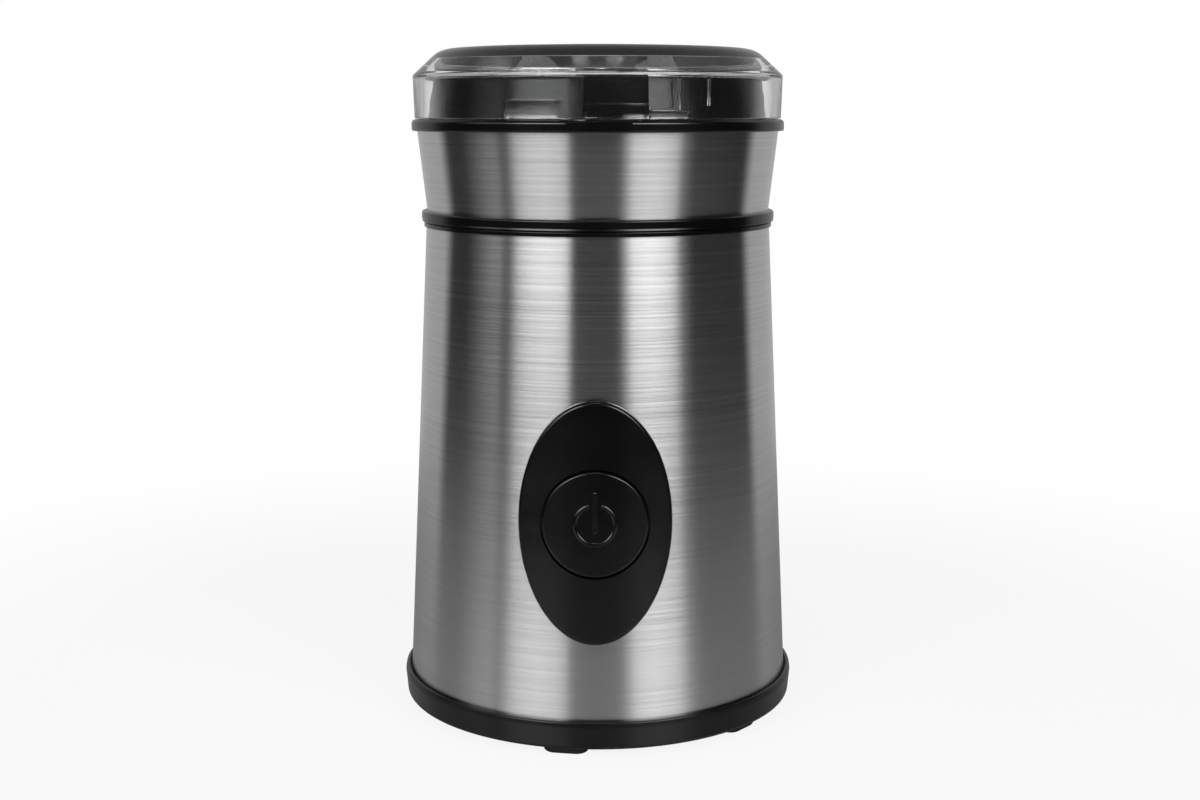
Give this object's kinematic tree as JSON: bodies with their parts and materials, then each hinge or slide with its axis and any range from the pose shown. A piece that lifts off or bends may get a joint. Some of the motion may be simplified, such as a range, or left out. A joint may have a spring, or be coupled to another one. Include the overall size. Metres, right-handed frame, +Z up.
{
  "type": "electric coffee grinder",
  "caption": "Upright blade coffee grinder with a brushed steel body, round push button on an oval plate, steel cup and clear lift-off lid.",
  "frame": {"origin": "centre of the object, on the surface that its rubber feet stand on", "axes": "+Z up along the motor shaft, -Y towards the front with the push button, +X to the right seen from the front"},
  "size_m": [0.1014, 0.1014, 0.1679],
  "materials": {
    "clear_lid": "clear moulded plastic, polished",
    "brushed_steel": "finely brushed round the body",
    "cup_steel": "drawn and polished",
    "black_plastic": "satin black moulding",
    "button_plastic": "satin black moulding",
    "frame_plastic": "plain moulding",
    "white_nylon": "plain moulding",
    "foot_rubber": "matt",
    "seal_rubber": "matt",
    "blade_steel": "ground",
    "shaft_steel": "turned bright",
    "screw_steel": "zinc plated",
    "spring_steel": "bright wire",
    "lamination_steel": "varnished plates",
    "bridge_steel": "zinc plated",
    "copper": "enamelled wire",
    "commutator_copper": "turned bright",
    "sintered_bronze": "oil filled, dull",
    "phenolic": "moulded",
    "carbon": "pressed"
  },
  "bodies": {
    "housing": {"base_cover": "black_plastic", "base_screws": "screw_steel", "body_shell": "brushed_steel", "chassis": "frame_plastic", "collar_frame": "black_plastic", "collar_screws": "screw_steel", "waist_ring": "black_plastic", "collar_band": "brushed_steel", "grinding_bowl": "cup_steel", "bowl_gasket": "seal_rubber", "bowl_seal": "seal_rubber", "interlock_spring": "spring_steel", "safety_switch": "frame_plastic", "switch_bezel": "black_plastic", "button_spring": "spring_steel", "switch_bracket": "frame_plastic", "power_switch": "frame_plastic", "cord_gland": "foot_rubber", "stator_core": "lamination_steel", "field_coil_left": "copper", "field_coil_right": "copper", "upper_frame": "bridge_steel", "lower_frame": "bridge_steel", "upper_bearing": "sintered_bronze", "lower_bearing": "sintered_bronze", "motor_bolts": "screw_steel", "motor_grommets": "seal_rubber", "mount_screws": "screw_steel", "brush_holder_front": "phenolic", "brush_holder_rear": "phenolic", "carbon_brush_front": "carbon", "carbon_brush_rear": "carbon", "brush_spring_front": "spring_steel", "brush_spring_rear": "spring_steel", "foot_1": "foot_rubber", "foot_2": "foot_rubber", "foot_3": "foot_rubber", "foot_4": "foot_rubber", "foot_5": "foot_rubber", "foot_6": "foot_rubber"},
    "lid": {"lid": "clear_lid"},
    "interlock": {"interlock_rod": "white_nylon"},
    "safety_pin": {"safety_plunger": "white_nylon"},
    "button": {"power_button": "button_plastic"},
    "switch_pin": {"switch_plunger": "white_nylon"},
    "rotor": {"motor_shaft": "shaft_steel", "armature_core": "lamination_steel", "armature_windings": "copper", "commutator_core": "phenolic", "commutator_bars": "commutator_copper", "cooling_fan": "white_nylon", "blade_hub": "shaft_steel", "grinding_blade": "blade_steel", "blade_nut": "screw_steel"}
  },
  "joints": [
    {"name": "lid_lift", "type": "slide", "parent": "housing", "child": "lid", "axis": [0, 0, 1], "range_m": [0, 0.06]},
    {"name": "interlock_slide", "type": "slide", "parent": "housing", "child": "interlock", "axis": [0, 0, 1], "range_m": [0, 0.0025], "deforming": ["interlock_spring"]},
    {"name": "safety_pin_slide", "type": "slide", "parent": "housing", "child": "safety_pin", "axis": [0, 0, 1], "range_m": [0, 0.0009]},
    {"name": "button_press", "type": "slide", "parent": "housing", "child": "button", "axis": [0, 1, 0], "range_m": [0, 0.0025], "stiffness_N_per_m": 900, "springref_m": -0.0012, "deforming": ["button_spring"]},
    {"name": "switch_pin_slide", "type": "slide", "parent": "housing", "child": "switch_pin", "axis": [0, 1, 0], "range_m": [0, 0.0016]},
    {"name": "rotor_spin", "type": "hinge", "parent": "housing", "child": "rotor", "pos_m": [0, 0, 0.06], "axis": [0, 0, 1], "continuous": true}
  ],
  "couplings": [
    {"joint": "interlock_slide", "follows": "lid_lift", "ratio": 0.0416},
    {"joint": "safety_pin_slide", "follows": "lid_lift", "ratio": 0.0133},
    {"joint": "switch_pin_slide", "follows": "button_press", "ratio": 0.6}
  ]
}
